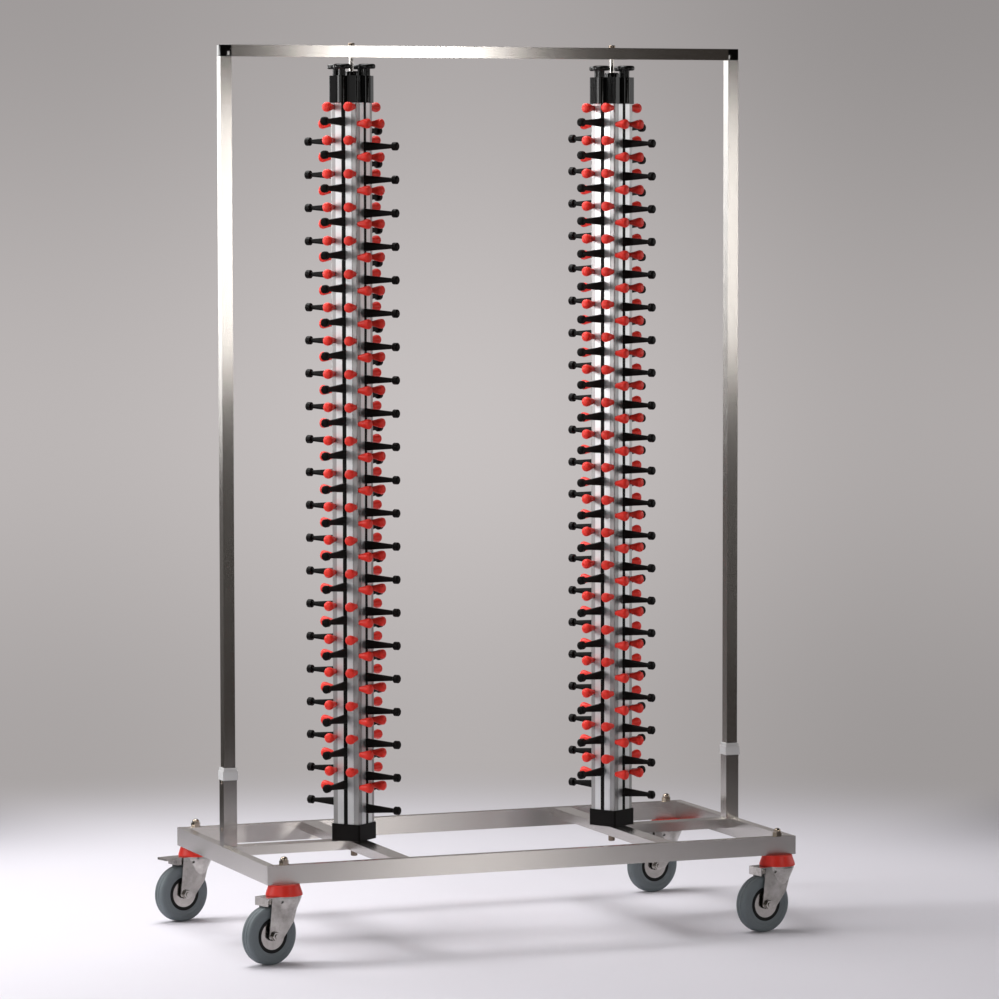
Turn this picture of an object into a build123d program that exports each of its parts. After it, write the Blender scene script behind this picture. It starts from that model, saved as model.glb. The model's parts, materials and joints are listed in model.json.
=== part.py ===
from build123d import *
from math import cos, radians, sin
import os

# Mobile plate rack: a welded base frame on four swivel casters, two posts and a
# top beam, and two turning columns. Each side of a column carries 21 pairs of
# red rim pegs and a sliding rail with 21 black arms, set by a knob on top.
# Millimetres, +Z up. The origin is on the floor under the middle of the base.

os.makedirs("parts", exist_ok=True)

touch_gap = 0.05              # between solids of one node that only touch

# --- base frame ---------------------------------------------------------------
base_length = 1220.0
base_width = 634.0
edge_tube_height = 40.0
edge_tube_width = 20.0
flat_tube_width = 40.0
flat_tube_height = 20.0
base_tube_wall = 1.5

# --- posts and top beam -------------------------------------------------------
post_inset = 17.0             # post axis from the base frame's end
post_size = 25.0
post_wall = 1.5
post_height = 1726.0          # base frame top to beam top
connector_spigot = 35.0
connector_edge = 1.0
connector_play = 0.1          # gap between a spigot and the tube around it
socket_size = 30.0
socket_height = 144.5
socket_play = 0.2             # gap between the post and its socket or collar
collar_size = 34.0
collar_height = 19.5
collar_lip_size = 30.0
collar_lip_height = 7.0
screw_head_radius = 3.5
screw_head_height = 1.5
screw_shank_radius = 2.0
screw_shank_length = 5.0
screw_hole_fit = 0.05
screw_edge_distance = 5.5     # upper screw to the socket's top
screw_spacing = 103.5

# --- columns ------------------------------------------------------------------
column_spacing = 610.0
left_column_turn = -51.0      # degrees, heading of the side called "front_right"
right_column_turn = -59.8
column_half = 33.0            # half width over the corner bars
corner_bar = 12.6
corner_bar_wall = 1.8
corner_radius = 3.0
face_proud = 0.8              # face plates stand this far out of the corner bars
face_plate = 2.5
slot_width = 10.0
channel_width = 16.8
channel_wall = 1.8
channel_depth = 4.5
core_radius = 9.0
core_bore = 6.5
web = 1.8
column_seat = 8.5             # floor thickness of the base block
column_into_cap = 12.0

block_size = 72.0
block_height = 36.5
block_corner_radius = 4.0
block_lift = 0.3              # running gap over the cross rail
knob_beam_gap = 14.2          # knob tops to the top beam
seat_play = 0.2               # column inside block and cap
cap_size = 72.0
cap_height = 58.5
cap_wall = 3.8
cap_corner_radius = 4.0
cap_groove_width = 1.5
cap_groove_depth = 0.8
cap_groove_offset = 16.0
hub_radius = 16.0
hub_height = 10.0
hub_round = 4.0
rod_radius = 5.0
rod_fit = 0.05                # radial running fit of the rod
rod_thread = 3.0              # rod standing out of the beam, inside its cap nut
rod_nut_radius = 7.5
rod_nut_height = 6.0
rod_nut_round = 2.0
lower_nut_height = 17.0
lower_nut_thread = 12.0

# --- plate levels -------------------------------------------------------------
level_pitch = 72.0
first_level_drop = 8.0        # top pegs of two opposite sides, below the cap
side_stagger = 36.0           # the other two sides sit this much lower
lowest_arm_gap = 10.0         # at least this much between an arm and the base block
peg_spacing = 54.0
peg_root_radius = 5.3
peg_taper = 9.2               # degrees, the pegs widen outwards
peg_length = 31.0
peg_sides = 6
arm_root_width = 9.4
arm_root_height = 20.0
arm_neck = 8.5
arm_neck_distance = 103.5     # column axis to the arm's head
arm_head = 17.0
arm_head_length = 13.5

# --- arm rails and their knobs ------------------------------------------------
rail_play = 0.3
rail_proud = 0.3              # rail face over the face plates
smallest_gap = 27.0           # peg axis down to arm axis, rail fully raised
largest_gap = 53.0
rail_end_play = 1.0
lug_radius = 7.0
lug_height = 12.0
lug_play = 0.5                # lug inside its boss
screw_distance = 39.0         # column axis to knob axis
knob_screw_radius = 3.0
knob_screw_fit = 0.05
screw_floor_gap = 3.0         # screw end over the column's top
screw_in_knob = 10.0
boss_radius = 9.5
knob_lift = 0.3               # running gap between knob and cap
knob_neck_radius = 7.5
knob_neck_height = 14.0
knob_radius = 19.0
knob_height = 11.0
knob_top_round = 3.0
knob_bottom_edge = 1.5
knob_flutes = 8
knob_flute_radius = 5.0
knob_flute_depth = 1.2

# Peg-to-arm gap that each side is set to.
left_front_right_gap = 49.0
left_back_right_gap = 50.5
left_back_left_gap = 38.0
left_front_left_gap = 31.0
right_front_right_gap = 42.5
right_back_right_gap = 42.5
right_back_left_gap = 31.0
right_front_left_gap = 32.0

# --- casters ------------------------------------------------------------------
caster_inset = 40.0           # swivel axis from the base frame's end
stem_radius = 6.0
stem_fit = 0.05
stem_thread = 12.0            # stem standing out of the frame, inside its cap nut
stem_head_radius = 11.0
stem_head_height = 6.0
stem_nut_width = 19.0
stem_nut_hex = 9.0
stem_nut_height = 18.0
stem_nut_dome_radius = 8.0
ring_top_radius = 32.5
ring_bottom_radius = 39.0
ring_height = 22.7
ring_lip = 3.0
crown_radius = 37.0
crown_thickness = 4.5
crown_gap = 0.3
trail = 40.0
tread_clearance = 14.5        # tyre to the crown's underside
fork_inside = 39.0
leg_thickness = 2.5
leg_foot_drop = 6.5           # below the axle
leg_foot_front = 22.0         # ahead of the axle
leg_foot_back = 15.0
leg_knee_front = 48.0
leg_knee_height = 25.5        # over the axle
leg_top_front = 65.0
leg_top_back = 7.0
leg_foot_round = 6.0
leg_hole_radius = 3.0
leg_hole_front = 16.0
leg_hole_drop = 6.5           # below the crown
shoulder_drop = 36.0          # the drawn shoulders run out this far below the crown
wheel_radius = 62.5
wheel_width = 32.0
tread_shoulder = 7.5          # width and height of the tread's rounded shoulders
tread_groove_offset = 4.5     # groove's middle to the wheel's middle
tread_groove_width = 1.6
tread_groove_depth = 1.2
tyre_bore = 37.5
tyre_side_flare = 5.0         # side wall widens from the rim to this far above it
side_band_depth = 0.8         # recessed band round the lower side wall
side_band_edge = 11.5         # band's outer edge above the rim
rim_width = 27.0
disc_radius = 30.0
disc_thickness = 1.5
disc_play = 0.05
hub_boss_radius = 11.0
hub_side_gap = 0.3            # wheel hub to fork leg
axle_radius = 5.0
axle_fit = 0.05
axle_nut_width = 17.0
axle_nut_height = 5.0
axle_washer_radius = 11.0
axle_washer_height = 1.5
axle_end = 2.5
lip_reach = 13.0
lip_drop = 18.0
lip_thickness = 2.5
pedal_pivot_drop = 5.5        # pivot below the crown
pedal_barrel_radius = 4.0
pedal_pin_radius = 2.5
pedal_pin_fit = 0.05
pedal_side_gap = 0.3          # barrel to fork leg
pedal_width = 36.0
pedal_shoe_front = 8.0        # behind the pivot
pedal_shoe_length = 14.0
pedal_shoe_drop = 6.0         # below the pivot
pedal_plate_length = 42.0
pedal_plate_thickness = 5.0
pedal_plate_rise = 6.0        # plate underside over the pivot

# Direction from each swivel axis to its wheel, and which casters have a brake.
caster_headings = {"front_left": 198.0, "back_left": 196.0, "front_right": 192.0, "back_right": 192.0}
braked_casters = ("back_left", "back_right")

# --- heights and places worked out from the sizes above -------------------------
crown_bottom = 2 * wheel_radius + tread_clearance
crown_top = crown_bottom + crown_thickness
caster_height = crown_top + crown_gap + ring_height
frame_top = caster_height + edge_tube_height
flat_tube_middle = frame_top - flat_tube_height / 2
flat_tube_bottom = frame_top - flat_tube_height
beam_top = frame_top + post_height
beam_bottom = beam_top - post_size
post_spacing = base_length - 2 * post_inset
beam_half = (post_spacing - post_size) / 2
socket_top = frame_top + socket_height
block_top = frame_top + block_height
column_bottom = frame_top + column_seat
knob_bottom = beam_bottom - knob_beam_gap - knob_height
cap_top = knob_bottom - knob_neck_height - knob_lift
cap_bottom = cap_top - cap_height
column_top = cap_bottom + column_into_cap
face_plane = column_half + face_proud
rail_face = face_plane + rail_proud
channel_front = face_plane - face_plate
channel_back = channel_front - channel_depth
plate_edge = column_half - corner_bar
corner_centre = column_half - corner_bar / 2
rail_bottom = column_bottom + rail_end_play
lug_bottom = column_top + rail_end_play
first_level = cap_bottom - first_level_drop
last_level = block_top + lowest_arm_gap + arm_root_height / 2 + largest_gap + side_stagger
level_count = int((first_level - last_level) // level_pitch) + 1
fork_half = fork_inside / 2 + leg_thickness
pedal_pivot = crown_bottom - pedal_pivot_drop

base_half_length = base_length / 2
base_half_width = base_width / 2
swivel_x = base_half_length - caster_inset
swivel_y = base_half_width - edge_tube_width / 2
swivel_points = {
    "front_left": (-swivel_x, -swivel_y),
    "back_left": (-swivel_x, swivel_y),
    "front_right": (swivel_x, -swivel_y),
    "back_right": (swivel_x, swivel_y),
}
sides = ("front_right", "back_right", "back_left", "front_left")
set_gaps = {
    "left": (left_front_right_gap, left_back_right_gap, left_back_left_gap, left_front_left_gap),
    "right": (right_front_right_gap, right_back_right_gap, right_back_left_gap, right_front_left_gap),
}
columns = {"left": (-column_spacing / 2, left_column_turn), "right": (column_spacing / 2, right_column_turn)}
column_points = [(x, 0) for x, turn in columns.values()]
edge_outward = (Align.MIN, Align.CENTER)


def save(shape, name):
    shape.label = name
    export_step(shape, f"parts/{name}.step")


def turned_plane(x, y, heading):
    """A level plane at floor height, its x axis at this heading in degrees."""
    return Plane(origin=(x, y, 0), x_dir=(cos(radians(heading)), sin(radians(heading)), 0))


def upright_plane(x, heading, distance):
    """An upright plane that faces this heading, at a distance from (x, 0)."""
    along = (cos(radians(heading)), sin(radians(heading)))
    origin = (x + distance * along[0], distance * along[1], 0)
    return Plane(origin=origin, x_dir=(-along[1], along[0], 0), z_dir=(*along, 0))


def drill(bottom, depth, points, radius):
    """Cut round vertical holes in the part being built."""
    with BuildSketch(Plane.XY.offset(bottom)) as holes:
        with Locations(*points):
            Circle(radius)
    extrude(holes.sketch, amount=depth, mode=Mode.SUBTRACT)


# === base frame ===================================================================
def mitred_tubes(length, distance, heading):
    """Two tubes on edge that face each other, mitred at both ends."""
    for turn in (heading, heading + 180):
        for inset, mode in ((0, Mode.ADD), (base_tube_wall, Mode.SUBTRACT)):
            near = length / 2 - inset
            far = length / 2 - edge_tube_width + inset
            outer = inset - distance / 2
            inner = edge_tube_width - inset - distance / 2
            with BuildSketch(turned_plane(0, 0, turn).offset(caster_height + inset)) as mitred:
                with BuildLine():
                    Polyline((-near, outer), (near, outer), (far, inner), (-far, inner), close=True)
                make_face()
            extrude(mitred.sketch, amount=edge_tube_height - 2 * inset, mode=mode)


with BuildPart() as long_rails:
    mitred_tubes(base_length, base_width, 0)
    drill(caster_height, edge_tube_height, swivel_points.values(), stem_radius + stem_fit)
save(long_rails.part, "long_rails")

with BuildPart() as end_rails:
    mitred_tubes(base_width, base_length, 90)
save(end_rails.part, "end_rails")

with BuildPart() as cross_rails:
    with BuildSketch(Plane.XZ):
        with Locations(*[(x, flat_tube_middle) for x, y in column_points]):
            Rectangle(flat_tube_width, flat_tube_height)
            Rectangle(
                flat_tube_width - 2 * base_tube_wall,
                flat_tube_height - 2 * base_tube_wall,
                mode=Mode.SUBTRACT,
            )
    extrude(amount=base_half_width - edge_tube_width, both=True)
    drill(flat_tube_bottom, flat_tube_height, column_points, rod_radius + rod_fit)
save(cross_rails.part, "cross_rails")

with BuildPart() as spine_rails:
    spine_start = column_spacing / 2 + flat_tube_width / 2
    with BuildSketch(Plane.YZ.offset(spine_start)):
        with Locations((0, flat_tube_middle)):
            Rectangle(flat_tube_width, flat_tube_height)
            Rectangle(
                flat_tube_width - 2 * base_tube_wall,
                flat_tube_height - 2 * base_tube_wall,
                mode=Mode.SUBTRACT,
            )
    extrude(amount=base_half_length - edge_tube_width - spine_start)
    mirror(about=Plane.YZ)
save(spine_rails.part, "spine_rails")


# === posts and top beam ===========================================================
screw_heights = (socket_top - screw_edge_distance, socket_top - screw_edge_distance - screw_spacing)


def square_ring(bottom, height, outside, inside):
    """A square tube round the right post's axis."""
    with BuildSketch(Plane.XY.offset(bottom)) as ring:
        with Locations((post_spacing / 2, 0)):
            Rectangle(outside, outside)
            Rectangle(inside, inside, mode=Mode.SUBTRACT)
    extrude(ring.sketch, amount=height)


def screw_circles(radius):
    """The two screws' outlines on the outer face of the right socket."""
    with BuildSketch(Plane.YZ.offset((post_spacing + socket_size) / 2)) as circles:
        with Locations(*[(0, z) for z in screw_heights]):
            Circle(radius)
    return circles.sketch


post_clear = post_size + 2 * socket_play

with BuildPart() as post_sockets:
    square_ring(frame_top, socket_height, socket_size, post_clear)
    extrude(
        screw_circles(screw_shank_radius + screw_hole_fit),
        amount=-screw_shank_length,
        mode=Mode.SUBTRACT,
    )
    mirror(about=Plane.YZ)
save(post_sockets.part, "post_sockets")

with BuildPart() as socket_collars:
    square_ring(socket_top, collar_height, collar_size, post_clear)
    square_ring(socket_top + collar_height, collar_lip_height, collar_lip_size, post_clear)
    mirror(about=Plane.YZ)
save(socket_collars.part, "socket_collars")

with BuildPart() as posts:
    square_ring(frame_top, beam_bottom - frame_top, post_size, post_size - 2 * post_wall)
    extrude(
        screw_circles(screw_shank_radius + screw_hole_fit),
        amount=-screw_shank_length,
        mode=Mode.SUBTRACT,
    )
    mirror(about=Plane.YZ)
save(posts.part, "posts")

with BuildPart() as socket_screws:
    extrude(screw_circles(screw_head_radius), amount=screw_head_height)
    chamfer(socket_screws.edges().group_by(Axis.X)[-1], screw_head_height / 3)
    extrude(screw_circles(screw_shank_radius), amount=-screw_shank_length)
    mirror(about=Plane.YZ)
save(socket_screws.part, "socket_screws")

with BuildPart() as top_beam:
    with BuildSketch(Plane.YZ):
        with Locations((0, beam_top - post_size / 2)):
            Rectangle(post_size, post_size)
            Rectangle(post_size - 2 * post_wall, post_size - 2 * post_wall, mode=Mode.SUBTRACT)
    extrude(amount=beam_half, both=True)
    drill(beam_bottom, post_size, column_points, rod_radius + rod_fit)
save(top_beam.part, "top_beam")

with BuildPart() as corner_connectors:
    spigot_size = post_size - 2 * post_wall - 2 * connector_play
    with Locations((post_spacing / 2, 0, beam_top - post_size / 2)):
        Box(post_size, post_size, post_size)
    top_edges = corner_connectors.edges().filter_by(Axis.Y).group_by(Axis.Z)[-1]
    chamfer(top_edges.sort_by(Axis.X)[-1], connector_edge)
    with BuildSketch(Plane.XY.offset(beam_bottom)):
        with Locations((post_spacing / 2, 0)):
            Rectangle(spigot_size, spigot_size)
    extrude(amount=-connector_spigot)
    with BuildSketch(Plane.YZ.offset(beam_half)):
        with Locations((0, beam_top - post_size / 2)):
            Rectangle(spigot_size, spigot_size)
    extrude(amount=-connector_spigot)
    mirror(about=Plane.YZ)
save(corner_connectors.part, "corner_connectors")


# === column rods and their nuts ===================================================
with BuildPart() as column_rods:
    rod_bottom = flat_tube_bottom - lower_nut_thread
    with BuildSketch(Plane.XY.offset(rod_bottom)):
        with Locations(*column_points):
            Circle(rod_radius)
    extrude(amount=beam_top + rod_thread - rod_bottom)
save(column_rods.part, "column_rods")


def cap_nut(seat, height, thread, up):
    """A round cap nut on each rod, on the seat and pointing up or down."""
    with BuildSketch(Plane.XY.offset(seat)) as nuts:
        with Locations(*column_points):
            Circle(rod_nut_radius)
    extrude(nuts.sketch, amount=height * up)
    fillet(edges(Select.LAST).group_by(Axis.Z)[-1 if up > 0 else 0], rod_nut_round)
    drill(seat, (thread + rod_fit) * up, column_points, rod_radius + rod_fit)


with BuildPart() as rod_nuts:
    cap_nut(beam_top, rod_nut_height, rod_thread, 1)
    cap_nut(flat_tube_bottom, lower_nut_height, lower_nut_thread, -1)
save(rod_nuts.part, "rod_nuts")


# === turning columns ==============================================================
def column_socket(plane):
    """Outline of the hole that the column and its rails stand in."""
    across = 2 * (column_half + seat_play)
    with BuildSketch(plane) as outline:
        RectangleRounded(across, across, corner_radius)
        with PolarLocations(0, 4):
            Rectangle(face_plane + seat_play, 2 * (plate_edge + seat_play), align=edge_outward)
            Rectangle(rail_face + rail_play, slot_width, align=edge_outward)
    return outline.sketch


def extrusion(plane):
    """The aluminium section: four corner bars, T-slotted faces and a core."""
    with BuildPart() as column:
        with BuildSketch(plane.offset(column_bottom)):
            RectangleRounded(2 * column_half, 2 * column_half, corner_radius)
            Rectangle(2 * plate_edge, 2 * column_half, mode=Mode.SUBTRACT)
            Rectangle(2 * column_half, 2 * plate_edge, mode=Mode.SUBTRACT)
            with GridLocations(2 * corner_centre, 2 * corner_centre, 2, 2):
                hollow = corner_bar - 2 * corner_bar_wall
                Rectangle(hollow, hollow, mode=Mode.SUBTRACT)
            with PolarLocations(channel_front, 4):
                Rectangle(face_plate, 2 * plate_edge, align=edge_outward)
            with PolarLocations(channel_back - channel_wall, 4):
                Rectangle(
                    channel_depth + channel_wall,
                    channel_width + 2 * channel_wall,
                    align=edge_outward,
                )
            with PolarLocations(channel_back, 4):
                Rectangle(channel_depth, channel_width, align=edge_outward, mode=Mode.SUBTRACT)
                Rectangle(column_half, slot_width, align=edge_outward, mode=Mode.SUBTRACT)
            with PolarLocations(0, 4):
                Rectangle(channel_back, web, align=edge_outward)
            with PolarLocations(0, 4, start_angle=45):
                Rectangle(plate_edge * 2**0.5 + web / 2, web, align=edge_outward)
            Circle(core_radius)
            Circle(core_bore, mode=Mode.SUBTRACT)
        extrude(amount=column_top - column_bottom)
    return column


def base_block(plane):
    with BuildPart() as block:
        with BuildSketch(plane.offset(frame_top + block_lift)):
            RectangleRounded(block_size, block_size, block_corner_radius)
            Circle(rod_radius + rod_fit, mode=Mode.SUBTRACT)
        extrude(amount=block_height - block_lift)
        pocket = column_socket(plane.offset(column_bottom))
        extrude(pocket, amount=block_top - column_bottom, mode=Mode.SUBTRACT)
    return block


def top_cap(plane):
    """Housing over the column, with a round boss for each knob's screw."""
    roof = cap_top - cap_wall
    groove_places = [
        Rot(0, 0, 90 * number) * Pos(cap_size / 2, offset)
        for number in range(4)
        for offset in (-cap_groove_offset, cap_groove_offset)
    ]
    with BuildPart() as cap:
        with BuildSketch(plane.offset(cap_bottom)):
            RectangleRounded(cap_size, cap_size, cap_corner_radius)
            with PolarLocations(screw_distance, 4):
                Circle(boss_radius)
            with Locations(*groove_places):
                Rectangle(2 * cap_groove_depth, cap_groove_width, mode=Mode.SUBTRACT)
        extrude(amount=cap_height)
        with BuildSketch(plane.offset(cap_top)):
            Circle(hub_radius)
        extrude(amount=hub_height)
        fillet(cap.edges().group_by(Axis.Z)[-1], hub_round)
        pocket = column_socket(plane.offset(cap_bottom))
        extrude(pocket, amount=column_into_cap, mode=Mode.SUBTRACT)
        with BuildSketch(plane.offset(column_top)):
            inside = cap_size - 2 * cap_wall
            Rectangle(inside, inside)
            with PolarLocations(0, 4):
                Rectangle(screw_distance, 2 * (lug_radius + lug_play), align=edge_outward)
            with PolarLocations(screw_distance, 4):
                Circle(lug_radius + lug_play)
        extrude(amount=roof - column_top, mode=Mode.SUBTRACT)
        with BuildSketch(plane.offset(roof)):
            Circle(rod_radius + rod_fit)
            with PolarLocations(screw_distance, 4):
                Circle(knob_screw_radius + knob_screw_fit)
        extrude(amount=cap_wall + hub_height, mode=Mode.SUBTRACT)
    return cap


def level_heights(side_number):
    """Peg heights on a side: opposite sides match, the others are staggered."""
    top = first_level - side_stagger * ((side_number + 1) % 2)
    return [top - level * level_pitch for level in range(level_count)]


def rim_pegs(x, turn):
    with BuildPart() as pegs:
        for number in range(4):
            with BuildSketch(upright_plane(x, turn + 90 * number, column_half)):
                for height in level_heights(number):
                    with Locations((-peg_spacing / 2, height), (peg_spacing / 2, height)):
                        RegularPolygon(peg_root_radius, peg_sides)
            extrude(amount=peg_length, taper=-peg_taper)
    return pegs


with BuildPart() as arm:
    root = rail_face + touch_gap
    with BuildSketch(Plane.YZ.offset(root)):
        Rectangle(arm_root_width, arm_root_height)
    with BuildSketch(Plane.YZ.offset(arm_neck_distance)):
        Rectangle(arm_neck, arm_neck)
    loft()
    with BuildSketch(Plane.YZ.offset(arm_neck_distance)):
        Rectangle(arm_head, arm_head)
    extrude(amount=arm_head_length)


def arm_rail(plane, heights, lift):
    """The sliding rail of one side: T-bar, nut lug on its top end, and 21 arms."""
    flange_front = channel_front - rail_play
    flange_back = channel_back + rail_play
    with BuildPart() as rail:
        with BuildSketch(plane.offset(rail_bottom + lift)):
            with Locations((flange_back, 0)):
                Rectangle(flange_front - flange_back, channel_width - 2 * rail_play, align=edge_outward)
                Rectangle(rail_face - flange_back, slot_width - 2 * rail_play, align=edge_outward)
        extrude(amount=lug_bottom - touch_gap - rail_bottom)
        with BuildSketch(plane.offset(lug_bottom + lift)):
            with Locations((flange_back, 0)):
                Rectangle(screw_distance - flange_back, 2 * lug_radius, align=edge_outward)
            with Locations((screw_distance, 0)):
                Circle(lug_radius)
                Circle(knob_screw_radius + knob_screw_fit, mode=Mode.SUBTRACT)
        extrude(amount=lug_height)
        arm_places = [plane.location * Pos(0, 0, z - largest_gap + lift) for z in heights]
        with Locations(*arm_places):
            add(arm.part)
    return rail


def knob(plane):
    """Turning knob over one side: a round fluted grip on a threaded screw."""
    with BuildPart() as grip:
        with BuildSketch(plane.offset(knob_bottom)):
            with Locations((screw_distance, 0)):
                Circle(knob_radius)
        extrude(amount=knob_height)
        fillet(grip.edges().group_by(Axis.Z)[-1], knob_top_round)
        chamfer(grip.edges().group_by(Axis.Z)[0], knob_bottom_edge)
        with BuildSketch(plane.offset(knob_bottom)):
            with Locations((screw_distance, 0)):
                with PolarLocations(knob_radius + knob_flute_radius - knob_flute_depth, knob_flutes):
                    Circle(knob_flute_radius)
        extrude(amount=knob_height, mode=Mode.SUBTRACT)
        with BuildSketch(plane.offset(cap_top + knob_lift)):
            with Locations((screw_distance, 0)):
                Circle(knob_neck_radius)
        extrude(amount=knob_neck_height)
        with BuildSketch(plane.offset(cap_top + knob_lift)):
            with Locations((screw_distance, 0)):
                Circle(knob_screw_radius + knob_screw_fit)
        extrude(amount=screw_in_knob, mode=Mode.SUBTRACT)
        screw_bottom = column_top + screw_floor_gap
        with BuildSketch(plane.offset(screw_bottom)):
            with Locations((screw_distance, 0)):
                Circle(knob_screw_radius)
        extrude(amount=cap_top + knob_lift + screw_in_knob - knob_screw_fit - screw_bottom)
    return grip


for column_name, (column_x, column_turn) in columns.items():
    upright = turned_plane(column_x, 0, column_turn)
    save(extrusion(upright).part, f"{column_name}_extrusion")
    save(base_block(upright).part, f"{column_name}_base_block")
    save(top_cap(upright).part, f"{column_name}_top_cap")
    save(rim_pegs(column_x, column_turn).part, f"{column_name}_pegs")
    for number, side in enumerate(sides):
        side_plane = turned_plane(column_x, 0, column_turn + 90 * number)
        lift = largest_gap - set_gaps[column_name][number]
        save(arm_rail(side_plane, level_heights(number), lift).part, f"{column_name}_{side}_arm_rail")
        save(knob(side_plane).part, f"{column_name}_{side}_knob")


# === casters ======================================================================
with BuildPart() as swivel_rings:
    with BuildSketch(Plane.XZ):
        with BuildLine():
            Polyline(
                (stem_radius + stem_fit, caster_height),
                (ring_top_radius, caster_height),
                (ring_bottom_radius, caster_height - ring_height + ring_lip),
                (ring_bottom_radius, caster_height - ring_height),
                (stem_radius + stem_fit, caster_height - ring_height),
                close=True,
            )
        make_face()
    ring = revolve(mode=Mode.PRIVATE)
    with Locations(*[(x, y, 0) for x, y in swivel_points.values()]):
        add(ring)
save(swivel_rings.part, "swivel_rings")

with BuildPart() as caster_stems:
    head_bottom = crown_bottom - crown_gap - stem_head_height
    with BuildSketch(Plane.XY.offset(head_bottom)):
        with Locations(*swivel_points.values()):
            Circle(stem_head_radius)
    extrude(amount=stem_head_height)
    with BuildSketch(Plane.XY.offset(head_bottom)):
        with Locations(*swivel_points.values()):
            Circle(stem_radius)
    extrude(amount=frame_top + stem_thread - head_bottom)
save(caster_stems.part, "caster_stems")

with BuildPart() as caster_nuts:
    with BuildSketch(Plane.XY.offset(frame_top)):
        with Locations(*swivel_points.values()):
            RegularPolygon(stem_nut_width / 2, 6, major_radius=False)
    extrude(amount=stem_nut_hex)
    with BuildSketch(Plane.XY.offset(frame_top + stem_nut_hex)):
        with Locations(*swivel_points.values()):
            Circle(stem_nut_dome_radius)
    extrude(amount=stem_nut_height - stem_nut_hex)
    fillet(caster_nuts.edges().group_by(Axis.Z)[-1], stem_nut_dome_radius * 0.8)
    drill(frame_top, stem_thread + stem_fit, swivel_points.values(), stem_radius + stem_fit)
save(caster_nuts.part, "caster_nuts")


# A caster is drawn with its swivel axis on Z and its wheel trailing along +X.
foot_height = wheel_radius - leg_foot_drop
leg_back = trail + leg_top_back
axle_nut_reach = axle_washer_height + axle_nut_height

# The legs are drawn out of a round crown, so a cone runs down the outside of each.
with BuildPart() as leg_shoulders:
    with BuildSketch(Plane.XY.offset(crown_bottom - shoulder_drop)):
        Circle(fork_half)
    with BuildSketch(Plane.XY.offset(crown_bottom)):
        Circle(crown_radius)
    loft()
    with BuildSketch(Plane.XY.offset(crown_bottom - shoulder_drop)):
        Rectangle(2 * crown_radius, fork_inside + leg_thickness)
    extrude(amount=shoulder_drop, mode=Mode.SUBTRACT)


def fork(braked):
    """Pressed steel fork with its axle bolt, and on a braked caster its pedal pin."""
    with BuildPart() as body:
        with BuildSketch(Plane.XZ.offset(-fork_inside / 2)):
            with BuildLine():
                Polyline(
                    (trail + leg_foot_back, foot_height),
                    (trail - leg_foot_front, foot_height),
                    (trail - leg_knee_front, wheel_radius + leg_knee_height),
                    (trail - leg_top_front, crown_top),
                    (leg_back, crown_top),
                    close=True,
                )
            leg = make_face()
            fillet(leg.vertices().group_by(Axis.Y)[0], leg_foot_round)
            with Locations((trail, wheel_radius)):
                Circle(axle_radius + axle_fit, mode=Mode.SUBTRACT)
            if braked:
                with Locations((trail, pedal_pivot)):
                    Circle(pedal_pin_radius + pedal_pin_fit, mode=Mode.SUBTRACT)
        extrude(amount=-leg_thickness)
        mirror(about=Plane.XZ)
        add(leg_shoulders.part)
        with BuildSketch(Plane.XZ):
            with Locations((trail - leg_hole_front, crown_bottom - leg_hole_drop)):
                Circle(leg_hole_radius)
        extrude(amount=crown_radius, both=True, mode=Mode.SUBTRACT)
        with BuildSketch(Plane.XY.offset(crown_bottom)):
            with Locations((leg_back, 0)):
                Rectangle(leg_top_front + leg_top_back, 2 * fork_half, align=(Align.MAX, Align.CENTER))
            Circle(crown_radius)
            Circle(stem_radius + stem_fit, mode=Mode.SUBTRACT)
        extrude(amount=crown_thickness)
        if not braked:
            with BuildSketch(Plane.XZ):
                with Locations((leg_back, crown_top)):
                    Rectangle(lip_reach, lip_thickness, align=(Align.MIN, Align.MAX))
                with Locations((leg_back + lip_reach, crown_top)):
                    Rectangle(lip_thickness, lip_drop, align=(Align.MAX, Align.MAX))
            extrude(amount=fork_half, both=True)
        with BuildSketch(Plane.XZ):
            with Locations((trail, wheel_radius)):
                Circle(axle_radius)
        extrude(amount=fork_half + touch_gap + axle_nut_reach + axle_end, both=True)
        for outward in (1, -1):
            nut_plane = Plane.XZ.offset((fork_half + touch_gap) * outward)
            with BuildSketch(nut_plane):
                with Locations((trail, wheel_radius)):
                    Circle(axle_washer_radius)
            extrude(amount=axle_washer_height * outward)
            with BuildSketch(nut_plane):
                with Locations((trail, wheel_radius)):
                    RegularPolygon(axle_nut_width / 2, 6, major_radius=False)
            extrude(amount=axle_nut_reach * outward)
        if braked:
            with BuildSketch(Plane.XZ):
                with Locations((trail, pedal_pivot)):
                    Circle(pedal_pin_radius)
            extrude(amount=fork_half, both=True)
    return body


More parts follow.
